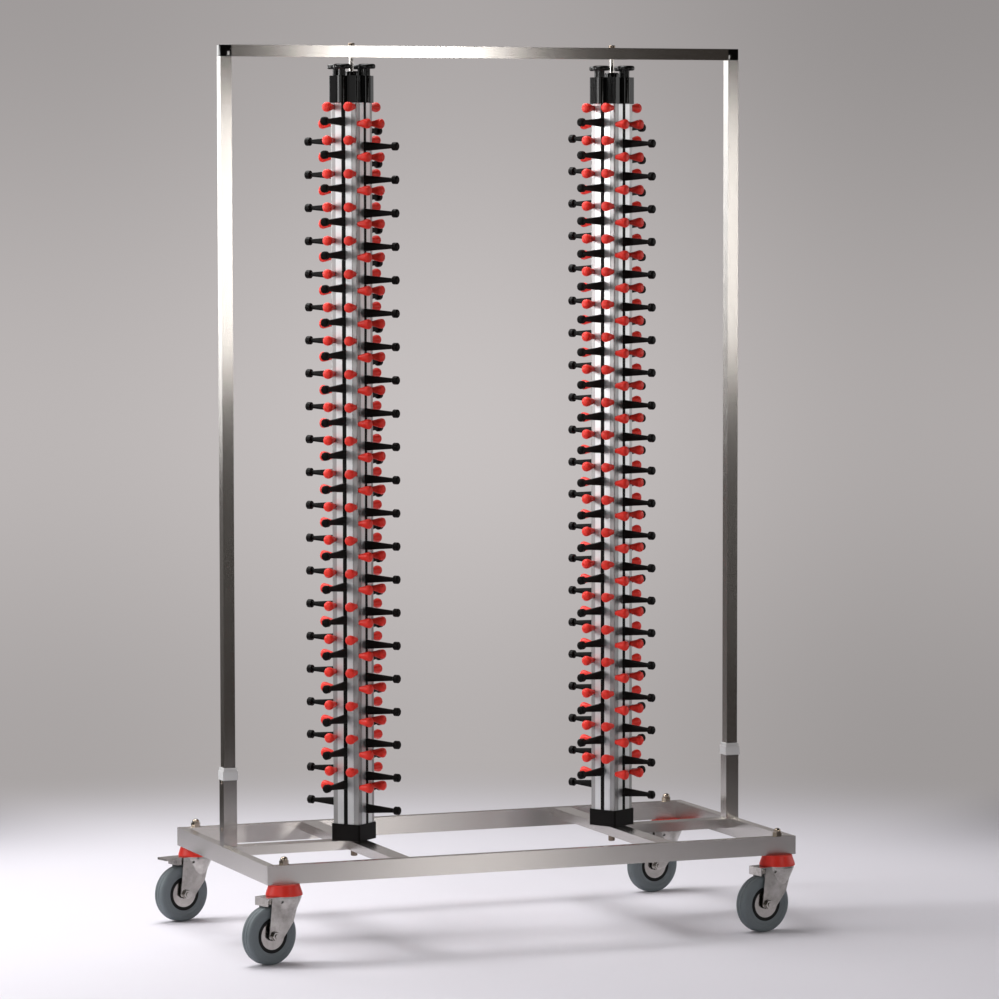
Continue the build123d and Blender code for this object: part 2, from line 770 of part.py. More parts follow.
def brake_pedal():
    """Foot pedal on a cross pin; its shoe comes down on the tread when pressed."""
    shoe_front = trail + pedal_shoe_front
    shoe_back = shoe_front + pedal_shoe_length
    plate_bottom = pedal_pivot + pedal_plate_rise
    with BuildPart() as pedal:
        with BuildSketch(Plane.XZ):
            with BuildLine():
                Polyline(
                    (trail, pedal_pivot - pedal_barrel_radius),
                    (shoe_front, pedal_pivot - pedal_shoe_drop),
                    (shoe_back, pedal_pivot - pedal_shoe_drop),
                    (shoe_back, plate_bottom),
                    (shoe_front + pedal_plate_length, plate_bottom),
                    (shoe_front + pedal_plate_length, plate_bottom + pedal_plate_thickness),
                    (shoe_front, plate_bottom + pedal_plate_thickness),
                    (shoe_front, pedal_pivot + pedal_barrel_radius),
                    (trail, pedal_pivot + pedal_barrel_radius),
                    close=True,
                )
            make_face()
        extrude(amount=pedal_width / 2, both=True)
        with BuildSketch(Plane.XZ):
            with Locations((trail, pedal_pivot)):
                Circle(pedal_barrel_radius)
        extrude(amount=fork_inside / 2 - pedal_side_gap, both=True)
        with BuildSketch(Plane.XZ):
            with Locations((trail, pedal_pivot)):
                Circle(pedal_pin_radius + pedal_pin_fit)
        extrude(amount=fork_inside / 2, both=True, mode=Mode.SUBTRACT)
    return pedal


# A wheel's parts are turned about the axle, from profiles drawn as (width, radius).
axle_line = Axis((trail, 0, wheel_radius), (0, 1, 0))
wheel_plane = Plane(origin=(trail, 0, wheel_radius), x_dir=(0, 1, 0), z_dir=(1, 0, 0))
hub_half = fork_inside / 2 - hub_side_gap
disc_seat = rim_width / 2 - disc_thickness


def turned_profile(half_profile):
    """Turn a profile given by its points on one side of the wheel's middle."""
    other_side = [(-width, radius) for width, radius in reversed(half_profile)]
    with BuildPart() as turned:
        with BuildSketch(wheel_plane):
            with BuildLine():
                Polyline(*half_profile, *other_side, close=True)
            make_face()
        revolve(axis=axle_line)
    return turned


wheel_half = wheel_width / 2
groove_edges = (
    tread_groove_offset + tread_groove_width / 2,
    tread_groove_offset - tread_groove_width / 2,
)
tyre = turned_profile(
    [
        (rim_width / 2, tyre_bore),
        (wheel_half - side_band_depth, tyre_bore + tyre_side_flare),
        (wheel_half - side_band_depth, tyre_bore + side_band_edge - side_band_depth),
        (wheel_half, tyre_bore + side_band_edge),
        *[
            (
                wheel_half - tread_shoulder * (1 - cos(radians(angle))),
                wheel_radius - tread_shoulder * (1 - sin(radians(angle))),
            )
            for angle in (0, 30, 60, 90)
        ],
        (groove_edges[0], wheel_radius),
        (groove_edges[0], wheel_radius - tread_groove_depth),
        (groove_edges[1], wheel_radius - tread_groove_depth),
        (groove_edges[1], wheel_radius),
    ]
)
rim = turned_profile(
    [
        (hub_half, axle_radius + axle_fit),
        (hub_half, hub_boss_radius),
        (disc_seat, hub_boss_radius),
        (disc_seat, disc_radius),
        (rim_width / 2, disc_radius),
        (rim_width / 2, tyre_bore),
    ]
)

with BuildPart() as hub_discs:
    with BuildSketch(Plane.XZ.offset(disc_seat)):
        with Locations((trail, wheel_radius)):
            Circle(disc_radius - disc_play)
            Circle(hub_boss_radius + disc_play, mode=Mode.SUBTRACT)
    extrude(amount=disc_thickness)
    mirror(about=Plane.XZ)

forks = {True: fork(True), False: fork(False)}
pedal = brake_pedal()

for caster, (swivel_at_x, swivel_at_y) in swivel_points.items():
    place = turned_plane(swivel_at_x, swivel_at_y, caster_headings[caster]).location
    braked = caster in braked_casters
    save(forks[braked].part.moved(place), f"{caster}_fork")
    save(tyre.part.moved(place), f"{caster}_tyre")
    save(rim.part.moved(place), f"{caster}_rim")
    save(hub_discs.part.moved(place), f"{caster}_hub_discs")
    if braked:
        save(pedal.part.moved(place), f"{caster}_brake_pedal")
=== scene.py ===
# %% [markdown]
# The real object is a storage rack on four casters. A steel tube frame holds two
# turning columns, and every side of a column carries red pegs and black arms. The
# build starts by loading the finished engineering model as a fixed frame, so every
# visible piece can take its place from the real bodies and joints. Drawing all of it
# by eye would be possible, but then nothing would be sure to move as it should.

# %% Load the frame
import json
import math

import bmesh
import bpy
from mathutils import Matrix, Quaternion, Vector


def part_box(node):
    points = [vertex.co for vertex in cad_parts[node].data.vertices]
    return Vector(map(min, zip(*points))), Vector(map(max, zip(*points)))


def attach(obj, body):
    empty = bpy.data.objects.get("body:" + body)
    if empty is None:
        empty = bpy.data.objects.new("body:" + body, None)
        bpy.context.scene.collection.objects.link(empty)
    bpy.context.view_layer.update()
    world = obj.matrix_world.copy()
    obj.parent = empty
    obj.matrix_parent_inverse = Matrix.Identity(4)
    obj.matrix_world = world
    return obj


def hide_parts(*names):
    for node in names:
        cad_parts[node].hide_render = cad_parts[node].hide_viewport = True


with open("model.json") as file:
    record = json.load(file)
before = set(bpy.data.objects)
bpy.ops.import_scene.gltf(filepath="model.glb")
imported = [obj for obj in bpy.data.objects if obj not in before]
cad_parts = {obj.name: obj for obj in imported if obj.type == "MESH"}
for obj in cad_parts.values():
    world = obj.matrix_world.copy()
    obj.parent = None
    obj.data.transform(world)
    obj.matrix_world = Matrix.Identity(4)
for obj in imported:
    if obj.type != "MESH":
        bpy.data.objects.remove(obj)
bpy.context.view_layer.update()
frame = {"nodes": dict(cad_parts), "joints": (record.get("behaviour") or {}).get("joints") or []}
joints = {joint["name"]: joint for joint in frame["joints"]}

# %% [markdown]
# Most surfaces of this rack show a fine grain: drawn steel and aluminium have lines
# along their length, and moulded plastic has a soft orange-peel skin. An image could
# do that too, but noise needs no file and follows each piece. One node group makes
# the grain once, and each material puts in its own values.

# %% Grain group
def new_group(name, inputs, outputs):
    group = bpy.data.node_groups.new(name, "ShaderNodeTree")
    for label, kind, value in inputs:
        socket = group.interface.new_socket(label, in_out="INPUT", socket_type=kind)
        socket.default_value = value
    for label, kind in outputs:
        group.interface.new_socket(label, in_out="OUTPUT", socket_type=kind)
    return group, group.nodes.new("NodeGroupInput"), group.nodes.new("NodeGroupOutput")


def build_grain_group():
    """Stretched noise: fine lines where one axis of Stretch is small."""
    group, inlet, outlet = new_group(
        "grain",
        [
            ("Stretch", "NodeSocketVector", (1, 1, 1)),
            ("Dark", "NodeSocketColor", (0.5, 0.5, 0.5, 1)),
            ("Light", "NodeSocketColor", (0.8, 0.8, 0.8, 1)),
            ("Roughness Low", "NodeSocketFloat", 0.25),
            ("Roughness High", "NodeSocketFloat", 0.4),
        ],
        [
            ("Color", "NodeSocketColor"),
            ("Roughness", "NodeSocketFloat"),
            ("Height", "NodeSocketFloat"),
        ],
    )
    nodes, links = group.nodes, group.links
    place_in = nodes.new("ShaderNodeTexCoord")
    stretch = nodes.new("ShaderNodeVectorMath")
    stretch.operation = "MULTIPLY"
    noise = nodes.new("ShaderNodeTexNoise")
    noise.inputs["Scale"].default_value = 1.0
    noise.inputs["Detail"].default_value = 4.0
    noise.inputs["Roughness"].default_value = 0.65
    blend = nodes.new("ShaderNodeMix")
    blend.data_type = "RGBA"
    span = nodes.new("ShaderNodeMapRange")
    links.new(place_in.outputs["Object"], stretch.inputs[0])
    links.new(inlet.outputs["Stretch"], stretch.inputs[1])
    links.new(stretch.outputs["Vector"], noise.inputs["Vector"])
    links.new(noise.outputs["Fac"], blend.inputs["Factor"])
    links.new(inlet.outputs["Dark"], blend.inputs["A"])
    links.new(inlet.outputs["Light"], blend.inputs["B"])
    links.new(noise.outputs["Fac"], span.inputs["Value"])
    links.new(inlet.outputs["Roughness Low"], span.inputs["To Min"])
    links.new(inlet.outputs["Roughness High"], span.inputs["To Max"])
    links.new(blend.outputs["Result"], outlet.inputs["Color"])
    links.new(span.outputs["Result"], outlet.inputs["Roughness"])
    links.new(noise.outputs["Fac"], outlet.inputs["Height"])
    return group


GRAIN = build_grain_group()
print("grain group", len(GRAIN.nodes), "nodes")

# %% [markdown]
# A material is a Principled shader fed by the grain. What is the same all over, such
# as metal and shine, is set on the shader itself, where an export can read it. Each
# finish could have nodes of its own, but one function keeps them alike. Brushed metal
# smears its reflections across its lines: the anisotropic setting does that, round a
# tangent. The polish of the rods and stems is the first finish, and has no lines.

# %% Grained material
MM = 0.001
GRAIN_RELIEF = 0.2 * MM
BRUSHED_SPREAD = 0.96
PLAIN_METAL_BUMP = 0.02


def grained_material(
    name, dark, light, stretch, rough, metallic=0.0, bump=0.0, around=None, specular=None
):
    """Dark and light are the ends of the colour, and rough those of the roughness."""
    material = bpy.data.materials.new(name)
    material.use_nodes = True
    nodes, links = material.node_tree.nodes, material.node_tree.links
    shader = nodes["Principled BSDF"]
    grain = nodes.new("ShaderNodeGroup")
    grain.node_tree = GRAIN
    grain.inputs["Stretch"].default_value = stretch
    grain.inputs["Dark"].default_value = (*dark, 1)
    grain.inputs["Light"].default_value = (*light, 1)
    grain.inputs["Roughness Low"].default_value = rough[0]
    grain.inputs["Roughness High"].default_value = rough[1]
    relief = nodes.new("ShaderNodeBump")
    relief.inputs["Strength"].default_value = bump
    relief.inputs["Distance"].default_value = GRAIN_RELIEF
    links.new(grain.outputs["Color"], shader.inputs["Base Color"])
    links.new(grain.outputs["Roughness"], shader.inputs["Roughness"])
    links.new(grain.outputs["Height"], relief.inputs["Height"])
    links.new(relief.outputs["Normal"], shader.inputs["Normal"])
    shader.inputs["Metallic"].default_value = metallic
    if specular is not None:
        shader.inputs["Specular IOR Level"].default_value = specular
    if around:
        tangent = nodes.new("ShaderNodeTangent")
        tangent.direction_type = "RADIAL"
        tangent.axis = around
        links.new(tangent.outputs["Tangent"], shader.inputs["Tangent"])
        shader.inputs["Anisotropic"].default_value = BRUSHED_SPREAD
    return material


def even_metal(name, dark, light, rough, fineness=300.0):
    """Bare metal with the same grain in all directions."""
    stretch = (fineness,) * 3
    return grained_material(name, dark, light, stretch, rough, metallic=1.0, bump=PLAIN_METAL_BUMP)


polished = even_metal("polished_steel", (0.56, 0.53, 0.50), (0.66, 0.63, 0.60), rough=(0.1, 0.16))
print(polished.name, len(polished.node_tree.nodes), "nodes")

# %% [markdown]
# Drawn tube is brushed along its length, so a tube along X needs lines along X and a
# post needs lines along Z. A pattern turned for each tube would need many materials,
# so the same finish is made three times, once for each direction. The pressed forks
# are zinc plated, with soft clouds from a coarse grain between far tones: partly the
# plating's mottle and partly painted reflection of the dark and bright things round them.

# %% Metals
ALONG, ACROSS = 2.0, 600.0


def brushed_steel(direction):
    stretch = [ACROSS] * 3
    stretch["XYZ".index(direction)] = ALONG
    return grained_material(
        f"brushed_steel_{direction.lower()}",
        (0.56, 0.535, 0.51),
        (0.66, 0.635, 0.61),
        stretch,
        rough=(0.23, 0.27),
        metallic=1.0,
        around=direction,
    )


brushed_x, brushed_y, brushed_z = (brushed_steel(direction) for direction in "XYZ")
# The zinc's dark and light clouds are partly plating mottle and partly painted reflection.
zinc = even_metal("zinc_steel", (0.04, 0.03, 0.02), (0.86, 0.83, 0.79), (0.12, 0.32), fineness=38.0)
nut_steel = even_metal("nut_steel", (0.30, 0.25, 0.20), (0.42, 0.36, 0.30), (0.1, 0.18))
# Painted shade: the rod nuts' steel is darkened to stand in for the dark room they mirror.
rod_nut_steel = even_metal("rod_nut_steel", (0.15, 0.115, 0.09), (0.24, 0.19, 0.15), (0.12, 0.2))
disc_steel = even_metal(
    "wheel_disc_steel", (0.28, 0.26, 0.235), (0.58, 0.555, 0.53), (0.12, 0.22), fineness=60.0
)
print("metals", len(bpy.data.materials))

# %% [markdown]
# The plastics differ in shine: the top caps and corners are glossy, the knobs satin
# and the arms nearly dull. One black for all would be quicker, but it would lose the
# highlights that tell the pieces apart. The tyres are grey rubber with a coarser skin.

# %% Plastics and rubber
def plastic(name, dark, light, rough, bump, specular=None, fineness=700.0):
    stretch = (fineness,) * 3
    return grained_material(name, dark, light, stretch, rough, bump=bump, specular=specular)


arm_black = plastic(
    "black_plastic",
    (0.0014, 0.0008, 0.0006),
    (0.0026, 0.0017, 0.0014),
    rough=(0.44, 0.56),
    bump=0.05,
    specular=0.12,
)
cap_black = plastic(
    "cap_black_plastic", (0.002,) * 3, (0.004,) * 3, rough=(0.06, 0.1), bump=0.01, specular=0.35
)
knob_black = plastic(
    "knob_black_plastic", (0.002,) * 3, (0.004,) * 3, rough=(0.26, 0.34), bump=0.03, specular=0.3
)
rim_black = plastic(
    "rim_black_plastic", (0.003,) * 3, (0.006,) * 3, rough=(0.5, 0.6), bump=0.08, specular=0.2
)
peg_red = plastic(
    "red_plastic",
    (0.84, 0.032, 0.020),
    (0.92, 0.041, 0.026),
    rough=(0.34, 0.46),
    bump=0.06,
    specular=0.3,
)
ring_red = plastic(
    "red_ring_plastic",
    (0.62, 0.026, 0.016),
    (0.70, 0.032, 0.02),
    rough=(0.34, 0.46),
    bump=0.08,
    specular=0.3,
)
collar_white = plastic("white_plastic", (0.60,) * 3, (0.68,) * 3, rough=(0.3, 0.42), bump=0.06)
tyre_grey = plastic(
    "grey_rubber",
    (0.125, 0.148, 0.158),
    (0.16, 0.185, 0.196),
    rough=(0.5, 0.66),
    bump=0.16,
    specular=0.35,
    fineness=300.0,
)
print("metals and plastics", len(bpy.data.materials))

# %% [markdown]
# The tubes, nuts, casters and caps keep the shapes of the engineering model, so they
# only need their finishes. A list of all the nodes would do, but the repeated ones
# are found by the end of their names, which is shorter and can't miss one.

# %% Dress the frame
def dress(node, material):
    """Give a CAD node its material."""
    thing = frame["nodes"][node]
    thing.data.materials.clear()
    thing.data.materials.append(material)


finish_of = {
    "long_rails": brushed_x,
    "spine_rails": brushed_x,
    "top_beam": brushed_x,
    "end_rails": brushed_y,
    "cross_rails": brushed_y,
    "post_sockets": brushed_z,
    "posts": brushed_z,
    "column_rods": polished,
    "caster_stems": polished,
    "socket_screws": nut_steel,
    "caster_nuts": nut_steel,
    "rod_nuts": rod_nut_steel,
    "socket_collars": collar_white,
    "corner_connectors": cap_black,
    "swivel_rings": ring_red,
}
finish_of_ending = {
    "_base_block": arm_black,
    "_top_cap": cap_black,
    "_knob": knob_black,
    "_arm_rail": arm_black,
    "_pegs": peg_red,
    "_fork": zinc,
    "_brake_pedal": zinc,
    "_hub_discs": disc_steel,
    "_tyre": tyre_grey,
    "_rim": rim_black,
}
for node in frame["nodes"]:
    for ending, material in finish_of_ending.items():
        if node.endswith(ending):
            finish_of[node] = material
for node, material in finish_of.items():
    dress(node, material)
print("dressed", len(finish_of), "still bare", sorted(set(frame["nodes"]) - set(finish_of)))

# %% [markdown]
# Each side of a column faces outwards along the line from the column's axis to that
# side's knob. The joints of the frame say where both are, so the four directions of
# each column are read from them, and the level heights follow from the pegs' node.
# Typed angles would give the same picture, but wouldn't follow a change of the model.

# %% Columns, sides and levels
SIDES = ("front_right", "back_right", "back_left", "front_left")
COLUMNS = ("left", "right")
level_count = 21
level_pitch = 72 * MM
side_stagger = 36 * MM
peg_tip_radius = 10.2 * MM


def column_axis(column):
    return Vector(joints[f"{column}_column_turn"]["pos_m"]) * Vector((1, 1, 0))


def side_heading(column, side):
    out = Vector(joints[f"{column}_{side}_knob_turn"]["pos_m"]) - column_axis(column)
    return math.atan2(out.y, out.x)


def side_matrix(column, side):
    """From a side's own space, with X outwards and Z up, to the row frame."""
    return Matrix.Translation(column_axis(column)) @ Matrix.Rotation(side_heading(column, side), 4, "Z")


def top_level(side):
    """Height of the side's highest pegs: two opposite sides sit half a pitch lower."""
    pegs_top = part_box("left_pegs")[1].z
    return round(pegs_top - peg_tip_radius, 3) - side_stagger * (side in ("front_right", "back_left"))


print("top levels", top_level("front_left"), top_level("front_right"))

# %% [markdown]
# The columns are anodised aluminium. The flat strips beside the slots shine, and the
# bars along the four corners look darker, which is painted shade in their colour. Two
# materials on chosen faces could show that, but the frame's mesh stays untouched, so
# one material paints the shade where a point is far from the axis in both directions.
# A Mapping node turns it with its column.

# %% Column aluminium
corner_bar_inside = 20.4 * MM
# Painted shade: the corner bars' colour is multiplied by this.
corner_bar_painted_shade = (0.53, 0.52, 0.515)


def column_aluminium(column):
    material = grained_material(
        f"{column}_anodised_aluminium",
        (0.66, 0.665, 0.675),
        (0.74, 0.745, 0.755),
        stretch=(ACROSS, ACROSS, ALONG),
        rough=(0.40, 0.50),
        metallic=1.0,
        bump=0.04,
    )
    nodes, links = material.node_tree.nodes, material.node_tree.links
    shader = nodes["Principled BSDF"]
    grain_color = shader.inputs["Base Color"].links[0].from_socket
    on_column = nodes.new("ShaderNodeMapping")
    on_column.vector_type = "TEXTURE"
    on_column.inputs["Location"].default_value = column_axis(column)
    on_column.inputs["Rotation"].default_value = (0, 0, side_heading(column, "front_right"))
    from_axis = nodes.new("ShaderNodeVectorMath")
    from_axis.operation = "ABSOLUTE"
    split = nodes.new("ShaderNodeSeparateXYZ")
    nearer = nodes.new("ShaderNodeMath")
    nearer.operation = "MINIMUM"
    in_bar = nodes.new("ShaderNodeMath")
    in_bar.operation = "GREATER_THAN"
    in_bar.inputs[1].default_value = corner_bar_inside
    # Painted shade: the colour is multiplied darker on the corner bars.
    shade = nodes.new("ShaderNodeMix")
    shade.data_type = "RGBA"
    shade.blend_type = "MULTIPLY"
    shade.inputs["B"].default_value = (*corner_bar_painted_shade, 1)
    links.new(nodes.new("ShaderNodeTexCoord").outputs["Object"], on_column.inputs["Vector"])
    links.new(on_column.outputs["Vector"], from_axis.inputs[0])
    links.new(from_axis.outputs["Vector"], split.inputs["Vector"])
    links.new(split.outputs["X"], nearer.inputs[0])
    links.new(split.outputs["Y"], nearer.inputs[1])
    links.new(nearer.outputs["Value"], in_bar.inputs[0])
    links.new(in_bar.outputs["Value"], shade.inputs["Factor"])
    links.new(grain_color, shade.inputs["A"])
    links.new(shade.outputs["Result"], shader.inputs["Base Color"])
    return material


for column in COLUMNS:
    dress(f"{column}_extrusion", column_aluminium(column))
    print(column, "column is turned", round(math.degrees(side_heading(column, "front_right")), 1))

# %% [markdown]
# Modelling by operators works on whatever is selected, and loading leaves the frame
# selected, so each piece starts from a clean selection. A finished piece stays at the
# origin with its place stored in its mesh. Moving the object instead would be
# quicker, but a pattern on its own coordinates would slide.

# %% Selecting, placing and finishing
objects = bpy.ops.object
mesh_ops = bpy.ops.mesh


def clean_selection():
    if bpy.context.mode != "OBJECT":
        objects.mode_set(mode="OBJECT")
    objects.select_all(action="DESELECT")


def activate(piece):
    clean_selection()
    piece.select_set(True)
    bpy.context.view_layer.objects.active = piece


def settle(name):
    """Name the new primitive and store its place and size in its mesh."""
    piece = bpy.context.active_object
    piece.name = name
    objects.transform_apply(location=True, rotation=True, scale=True)
    return piece


def place(piece, matrix):
    """Move a piece by a matrix, with its place kept in the mesh."""
    activate(piece)
    piece.matrix_world = matrix @ piece.matrix_world
    objects.transform_apply(location=True, rotation=True, scale=True)
    return piece


def join(pieces, name):
    clean_selection()
    for piece in pieces:
        piece.select_set(True)
    bpy.context.view_layer.objects.active = pieces[0]
    objects.join()
    joined = bpy.context.active_object
    joined.name = name
    return joined


def finish_piece(piece, body, material, node, angle):
    """Shade a piece, give it its material and its body, and hide the node it stands for."""
    activate(piece)
    objects.shade_smooth_by_angle(angle=math.radians(angle))
    piece.data.materials.clear()
    piece.data.materials.append(material)
    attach(piece, body)
    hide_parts(node)
    return piece


clean_selection()

# %% [markdown]
# A rim peg is a small red plastic horn: slim where it leaves the column and wider at
# its domed end, so that nothing slips off. It could be spun from an outline. Here a
# ring of sixteen points is extruded and scaled step by step, which keeps full control
# of the number of faces. Few must do, because there are 168 pegs on a column.

# %% Turned form and one peg
peg_face = 33 * MM
peg_length = 31 * MM
peg_sides = 16

# Share of the length, and the radius there.
peg_rings = (
    (0, 5.2 * MM),
    (0.3, 7.4 * MM),
    (0.6, 10.0 * MM),
    (0.78, 10.9 * MM),
    (0.9, 10.2 * MM),
    (0.97, 7.7 * MM),
    (1, 3.815 * MM),
)
lying_outwards = Matrix.Rotation(math.radians(90), 4, "Y")


def turned_form(name, sides, rings):
    """A closed round form along Z, from (height, radius) pairs, by extruding rings."""
    clean_selection()
    height, radius = rings[0]
    mesh_ops.primitive_circle_add(
        vertices=sides, radius=radius, fill_type="NGON", location=(0, 0, height)
    )
    piece = settle(name)
    objects.mode_set(mode="EDIT")
    mesh_ops.select_all(action="SELECT")
    for next_height, next_radius in rings[1:]:
        mesh_ops.extrude_region_move(TRANSFORM_OT_translate={"value": (0, 0, next_height - height)})
        grow = next_radius / radius
        bpy.ops.transform.resize(value=(grow, grow, 1), center_override=(0, 0, next_height))
        height, radius = next_height, next_radius
    mesh_ops.select_all(action="SELECT")
    mesh_ops.normals_make_consistent(inside=False)
    objects.mode_set(mode="OBJECT")
    return piece


def build_peg(name, across, height):
    """One peg that lies along X, at its place on a side."""
    peg = turned_form(name, peg_sides, [(share * peg_length, radius) for share, radius in peg_rings])
    return place(peg, Matrix.Translation((peg_face, across, height)) @ lying_outwards)


print("peg reaches", round((peg_face + peg_length) / MM, 1), "mm from the axis")

# %% [markdown]
# On the real column the pegs stand in pairs, one pair on each level of a side. They
# could be copied by hand, but an array makes all levels from one peg in one step.
# Modifiers are applied at once, because the next step works on their result.

# %% Pegs on every level
peg_spacing = 54 * MM


def add_modifier(piece, kind, **values):
    """Add a modifier with these values and apply it at once."""
    activate(piece)
    modifier = piece.modifiers.new(kind.title(), kind)
    for key, value in values.items():
        setattr(modifier, key, value)
    objects.modifier_apply(modifier=modifier.name)


def repeat_down(piece):
    """One copy on every level of a side, from the highest down."""
    add_modifier(
        piece,
        "ARRAY",
        count=level_count,
        use_relative_offset=False,
        use_constant_offset=True,
        constant_offset_displace=(0, 0, -level_pitch),
    )


def build_pegs(column):
    rows = []
    for side in SIDES:
        for across in (-peg_spacing / 2, peg_spacing / 2):
            row = build_peg(f"{column}_{side}_peg", across, top_level(side))
            repeat_down(row)
            rows.append(place(row, side_matrix(column, side)))
    pegs = join(rows, f"{column}_round_pegs")
    return finish_piece(pegs, f"{column}_column", peg_red, f"{column}_pegs", angle=50)


for column in COLUMNS:
    pegs = build_pegs(column)
    print(pegs.name, len(pegs.data.polygons), "faces")

# %% [markdown]
# An arm carries its load from below. It is a black moulding that starts as a tall web
# on the sliding rail, tapers to a slim neck and ends in a soft round head. A loft
# between two outlines could draw the web. A box does it in fourteen faces: its far
# face is scaled down and its long edges are bevelled, both picked by direction.

# %% One arm
arm_root_x = 34.1 * MM
arm_neck_x = 103.5 * MM
arm_neck_size = 8.5 * MM
arm_root_width, arm_root_height = 9.4 * MM, 20.0 * MM
arm_edge = 2.6 * MM
arm_head_sides = 12

# Distance from the neck, and the radius there.
arm_head_rings = (
    (0, arm_neck_size / 2),
    (0.2 * MM, 7.65 * MM),
    (1.6 * MM, 9.25 * MM),
    (11.1 * MM, 9.25 * MM),
    (12.9 * MM, 7.45 * MM),
    (13.5 * MM, 4.1625 * MM),
)


def new_box(name, low, high):
    """A box between two corners."""
    clean_selection()
    middle = [(a + b) / 2 for a, b in zip(low, high)]
    mesh_ops.primitive_cube_add(size=1, location=middle)
    bpy.context.active_object.scale = [b - a for a, b in zip(low, high)]
    return settle(name)


def start_picking(piece, kind):
    """Open a piece in edit mode with nothing selected."""
    objects.mode_set(mode="EDIT")
    mesh_ops.select_mode(type=kind)
    mesh_ops.select_all(action="DESELECT")
    return bmesh.from_edit_mesh(piece.data)


def pick_faces(piece, test):
    """Select only the faces whose normal passes the test, in edit mode."""
    edit = start_picking(piece, "FACE")
    for face in edit.faces:
        face.select = test(face.normal)
    edit.select_flush_mode()
    bmesh.update_edit_mesh(piece.data)


def pick_edges(piece, test):
    """Select only the edges whose two ends pass the test, in edit mode."""
    edit = start_picking(piece, "EDGE")
    for edge in edit.edges:
        edge.select = test(*(vert.co for vert in edge.verts))
    edit.select_flush_mode()
    bmesh.update_edit_mesh(piece.data)


def build_arm(name):
    """One arm, lying along X at height zero: a tapered web and a round head."""
    half_width, half_height = arm_root_width / 2, arm_root_height / 2
    web = new_box(
        "web", (arm_root_x, -half_width, -half_height), (arm_neck_x + MM, half_width, half_height)
    )
    pick_faces(web, lambda normal: normal.x > 0.9)
    bpy.ops.transform.resize(
        value=(1, arm_neck_size / arm_root_width, arm_neck_size / arm_root_height),
        center_override=(arm_neck_x, 0, 0),
    )
    pick_edges(web, lambda a, b: abs(a.x - b.x) > 0.5 * (arm_neck_x - arm_root_x))
    mesh_ops.bevel(offset=arm_edge, segments=2, affect="EDGES")
    objects.mode_set(mode="OBJECT")
    head = turned_form("head", arm_head_sides, arm_head_rings)
    place(head, Matrix.Translation((arm_neck_x, 0, 0)) @ lying_outwards)
    return join([web, head], name)


print("arm reaches", round((arm_neck_x + arm_head_rings[-1][0]) / MM, 1), "mm from the axis")

# %% [markdown]
# All arms of a side sit on one rail that slides in the column's slot. Its upper end
# carries a lug, whose round eye holds the screw of the knob above. The rail could be
# one extruded outline, but its bar and neck are plain boxes that mostly lie hidden in
# the slot. The eight rails stand at different heights, so each is fitted to its node.

# %% Rails with their arms
largest_arm_gap = 53 * MM
lowest_rail_z = 216.5 * MM
rail_back_x = 27.1 * MM
rail_flange_x = 31 * MM
rail_half_width = 8.1 * MM
rail_neck_half_width = 4.7 * MM
knob_axis_x = 39 * MM
lug_height = 12 * MM
lug_gap = 0.05 * MM
lug_half_width = 7 * MM
eye_sides = 24


def new_cylinder(name, sides, radius, depth, bottom):
    """An upright cylinder on the Z axis that starts at the given height."""
    clean_selection()
    mesh_ops.primitive_cylinder_add(
        vertices=sides, radius=radius, depth=depth, location=(0, 0, bottom + depth / 2)
    )
    return settle(name)


def side_gap(column, side):
    """Peg axis down to arm axis, from how far the rail's lower end is raised."""
    return largest_arm_gap - (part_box(f"{column}_{side}_arm_rail")[0].z - lowest_rail_z)


def build_rail(column, side):
    node = f"{column}_{side}_arm_rail"
    arm = build_arm(f"{column}_{side}_arms")
    place(arm, Matrix.Translation((0, 0, top_level(side) - side_gap(column, side))))
    repeat_down(arm)
    bottom, top = (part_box(node)[end].z for end in (0, 1))
    lug_bottom = top - lug_height
    bar_top = lug_bottom - lug_gap
    bar = new_box(
        "bar", (rail_back_x, -rail_half_width, bottom), (rail_flange_x, rail_half_width, bar_top)
    )
    neck = new_box(
        "neck",
        (rail_flange_x, -rail_neck_half_width, bottom),
        (arm_root_x, rail_neck_half_width, bar_top),
    )
    lug = new_box(
        "lug", (rail_back_x, -lug_half_width, lug_bottom), (knob_axis_x, lug_half_width, top)
    )
    eye = new_cylinder("eye", eye_sides, lug_half_width, lug_height, lug_bottom)
    place(eye, Matrix.Translation((knob_axis_x, 0, 0)))
    rail = join([arm, bar, neck, lug, eye], f"{column}_{side}_rail_with_arms")
    place(rail, side_matrix(column, side))
    return finish_piece(rail, f"{column}_{side}_rail", arm_black, node, angle=40)


for column in COLUMNS:
    for side in SIDES:
        rail = build_rail(column, side)
        print(rail.name, "hangs", round(side_gap(column, side) / MM), "mm below the pegs")

# %% [markdown]
# Over every side of a column stands a knob on a threaded screw. It is a thin screw, a
# short neck and a disc with a fully rounded edge. Three primitives could be joined,
# but turning all of it as one row of rings leaves no seam between them.

# %% Knobs
screw_radius = 3 * MM
knob_neck_radius = 7.5 * MM
knob_neck_height = 14 * MM
knob_disc_height = 11 * MM
knob_sides = 40

# Height above the underside of the disc, and the radius there.
knob_disc_rings = (
    (0, 15.8 * MM),
    (1.2 * MM, 18.0 * MM),
    (3.6 * MM, 19.0 * MM),
    (6.6 * MM, 19.0 * MM),
    (9.2 * MM, 17.9 * MM),
    (10.6 * MM, 15.6 * MM),
    (knob_disc_height, 12.4 * MM),
)


